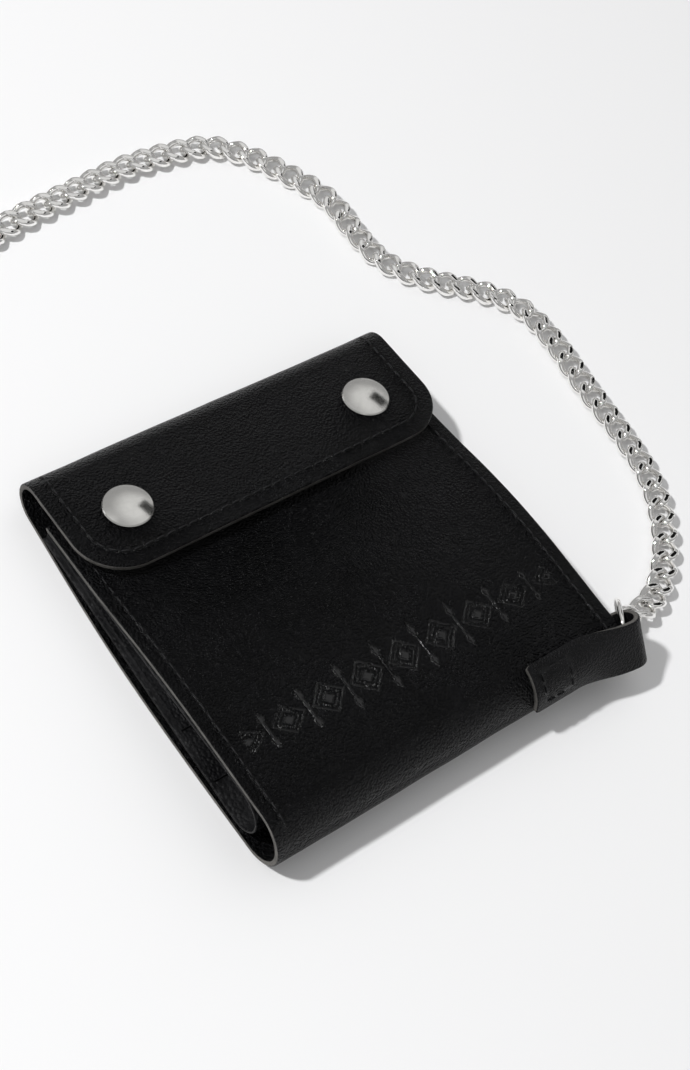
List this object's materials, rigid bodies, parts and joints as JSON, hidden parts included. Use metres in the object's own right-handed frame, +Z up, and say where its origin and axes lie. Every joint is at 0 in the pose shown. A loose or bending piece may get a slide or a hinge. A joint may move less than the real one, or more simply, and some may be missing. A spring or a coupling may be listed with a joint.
{
  "type": "snap-flap bifold wallet with chain",
  "caption": "Flat folding wallet with a snapped closing flap, card pockets, and a curb chain on a leather tab ending in a swivel clasp.",
  "frame": {"origin": "centre of the back panel's underside, on which the closed wallet lies", "axes": "X along the folds with the chain tab at +X, Y from the near fold to the far fold, Z up"},
  "size_m": [0.19, 0.224, 0.0188],
  "materials": {
    "leather": "satin",
    "lining": "satin",
    "pocket_leather": "satin",
    "thread": "satin",
    "nickel": "polished",
    "spring_steel": "satin"
  },
  "bodies": {
    "back": {"outer_shell_back": "leather", "liner_back": "lining", "card_pocket_back_rear": "pocket_leather", "card_pocket_back_front": "pocket_leather", "chain": "nickel", "swivel_eye": "nickel"},
    "spine": {"outer_shell_spine": "leather", "liner_spine": "lining", "chain_tab": "leather", "tab_box_seam_thread": "thread"},
    "cover": {"outer_shell_front": "leather", "liner_front": "lining", "card_pocket_front_rear": "pocket_leather", "card_pocket_front_front": "pocket_leather", "front_side_seam_threads": "thread", "snap_studs": "nickel", "snap_posts": "nickel"},
    "far_fold": {"outer_shell_far_fold": "leather"},
    "flap": {"outer_shell_flap": "leather", "flap_lining": "lining", "flap_seam_thread": "thread", "snap_caps": "nickel", "snap_sockets": "nickel"},
    "ring": {"jump_ring": "nickel"},
    "clasp": {"clasp_hook": "nickel", "clasp_pin": "nickel", "clasp_spring": "spring_steel"},
    "gate": {"clasp_gate": "nickel"}
  },
  "joints": [
    {"name": "spine_fold", "type": "hinge", "parent": "back", "child": "spine", "pos_m": [0, -0.05588, 0.00209], "axis": [1, 0, 0], "range_deg": [0, 96.5]},
    {"name": "cover_fold", "type": "hinge", "parent": "spine", "child": "cover", "pos_m": [0, -0.05303, 0.01831], "axis": [1, 0, 0], "range_deg": [0, 83]},
    {"name": "far_fold_crease", "type": "hinge", "parent": "back", "child": "far_fold", "pos_m": [0, 0.0524, 0.0012], "axis": [-1, 0, 0], "range_deg": [0, 87]},
    {"name": "flap_crease", "type": "hinge", "parent": "far_fold", "child": "flap", "pos_m": [0, 0.05289, 0.01069], "axis": [-1, 0, 0], "range_deg": [0, 87]},
    {"name": "ring_swing", "type": "hinge", "parent": "spine", "child": "ring", "pos_m": [0.05807, -0.05196, 0.0092], "axis": [0, 0.682, 0.7314], "range_deg": [-20, 6]},
    {"name": "clasp_swivel", "type": "hinge", "parent": "back", "child": "clasp", "pos_m": [-0.0485, 0.1565, 0.00282], "axis": [1, 0, 0], "continuous": true},
    {"name": "gate_push", "type": "hinge", "parent": "clasp", "child": "gate", "pos_m": [-0.0292, 0.1588, 0.00282], "axis": [0, 0, -1], "range_deg": [0, 25], "stiffness_Nm_per_rad": 0.004, "springref_deg": -8.59}
  ],
  "couplings": [
    {"joint": "cover_fold", "follows": "spine_fold", "ratio": 0.86},
    {"joint": "flap_crease", "follows": "far_fold_crease", "ratio": 1}
  ]
}
